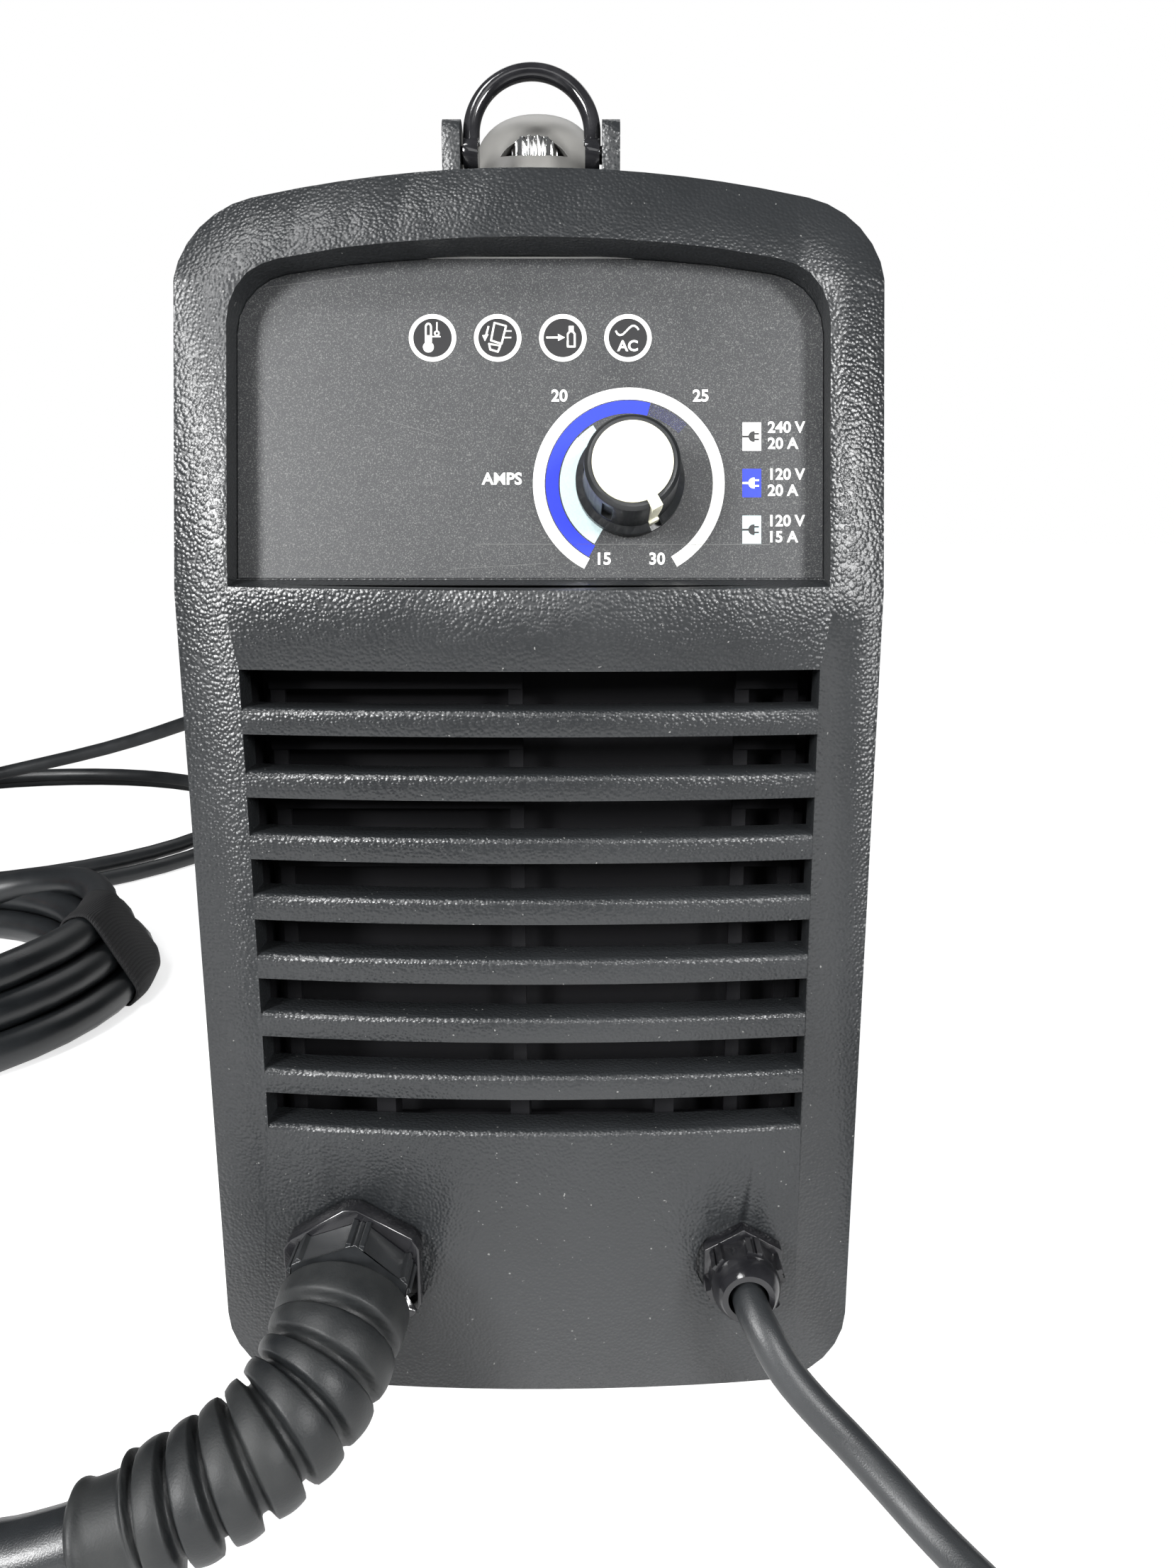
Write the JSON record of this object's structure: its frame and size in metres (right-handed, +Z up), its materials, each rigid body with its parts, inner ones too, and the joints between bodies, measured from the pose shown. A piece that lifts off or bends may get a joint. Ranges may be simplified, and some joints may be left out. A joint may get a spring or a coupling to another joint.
{
  "type": "plasma cutter unit",
  "caption": "Compact inverter plasma cutter: louvred moulded front, control dial, carry handle, hand torch, work clamp and coiled leads.",
  "frame": {"origin": "on the ground under the middle of the case", "axes": "+Z up, the control front faces -Y, +X to the right seen from the front"},
  "size_m": [1.0998, 0.8735, 0.3435],
  "materials": {
    "mould": "pebbled moulding, satin black",
    "label": "speckled charcoal film",
    "window": "printed film windows",
    "knob": "satin black",
    "cream": "satin cream plastic",
    "steel": "plain steel",
    "case": "black powder coat",
    "rubber": "satin black rubber",
    "jacket": "black cable jacket",
    "gland": "glossy black nylon",
    "grip": "grey soft-touch grip",
    "chrome": "bright plated steel",
    "brass": "turned brass",
    "copper": "copper",
    "board": "green circuit board",
    "alloy": "extruded aluminium",
    "webbing": "woven hook-and-loop strap",
    "trigger": "orange trigger plastic",
    "safety": "yellow safety plastic",
    "dark": "black plastic",
    "ceramic": "sleeved capacitor",
    "filter": "pale filter bowl"
  },
  "bodies": {
    "case": {"front_bezel": "mould", "control_label": "label", "indicator_windows": "window", "potentiometer": "brass", "control_board": "board", "inner_baffle": "dark", "base_tray": "steel", "case_cover": "case", "case_screws": "steel", "rear_bezel": "mould", "rubber_feet": "rubber", "carry_handle": "grip", "handle_bolts": "chrome", "fan_frame": "dark", "power_board": "board", "heatsink": "alloy", "capacitors": "ceramic", "transformer_core": "dark", "transformer_coils": "copper", "gas_valve": "brass", "air_filter": "filter", "gas_inlet": "brass", "switch_housing": "dark", "power_gland": "gland", "power_cord": "jacket", "power_cord_coil": "jacket", "plug_body": "rubber", "plug_blades": "brass", "torch_flange_nut": "gland", "torch_gland_nut": "dark", "torch_relief": "rubber", "torch_lead": "jacket", "torch_lead_coil": "jacket", "coil_strap": "webbing", "torch_tail": "jacket", "torch_shell_left": "dark", "torch_shell_right": "dark", "torch_head": "dark", "torch_cap": "dark", "torch_nozzle": "copper", "work_gland_base": "gland", "work_gland_nut": "gland", "work_lead": "jacket", "work_lead_coil": "jacket", "work_tail": "jacket", "work_coil_tie": "webbing", "clamp_jaw_lower": "steel", "clamp_pin": "steel", "clamp_spring": "steel", "clamp_contacts": "copper"},
    "dial": {"dial_knob": "knob", "dial_cap": "cream", "dial_shaft": "steel"},
    "strap_loop": {"strap_bail": "gland"},
    "fan": {"fan_rotor": "dark"},
    "power_rocker": {"switch_rocker": "gland"},
    "trigger": {"torch_trigger": "trigger"},
    "safety": {"torch_safety": "safety"},
    "upper_jaw": {"clamp_jaw_upper": "steel"}
  },
  "joints": [
    {"name": "dial_turn", "type": "hinge", "parent": "case", "child": "dial", "pos_m": [0.0229, -0.15354, 0.23298], "axis": [0, -0.9781, 0.2079], "range_deg": [0, 300]},
    {"name": "bail_swing", "type": "hinge", "parent": "case", "child": "strap_loop", "pos_m": [0, -0.129, 0.309], "axis": [1, 0, 0], "range_deg": [0, 100]},
    {"name": "fan_spin", "type": "hinge", "parent": "case", "child": "fan", "pos_m": [0, 0.1428, 0.076], "axis": [0, 1, 0], "continuous": true},
    {"name": "rocker_tip", "type": "hinge", "parent": "case", "child": "power_rocker", "pos_m": [0.034, 0.156, 0.244], "axis": [1, 0, 0], "range_deg": [0, 20]},
    {"name": "trigger_press", "type": "hinge", "parent": "case", "child": "trigger", "pos_m": [-0.402, 0.188, 0.0466], "axis": [0, 0, -1], "range_deg": [0, 7], "stiffness_Nm_per_rad": 0.3, "springref_deg": -5.73},
    {"name": "safety_flip", "type": "hinge", "parent": "trigger", "child": "safety", "pos_m": [-0.394, 0.1566, 0.0466], "axis": [0, 0, 1], "range_deg": [0, 40], "stiffness_Nm_per_rad": 0.05, "springref_deg": -11.46},
    {"name": "jaw_open", "type": "hinge", "parent": "case", "child": "upper_jaw", "pos_m": [0.399, -0.166, 0.012], "axis": [0, 0, -1], "range_deg": [0, 22], "stiffness_Nm_per_rad": 0.8, "springref_deg": -17.19, "deforming": ["clamp_spring"]}
  ]
}
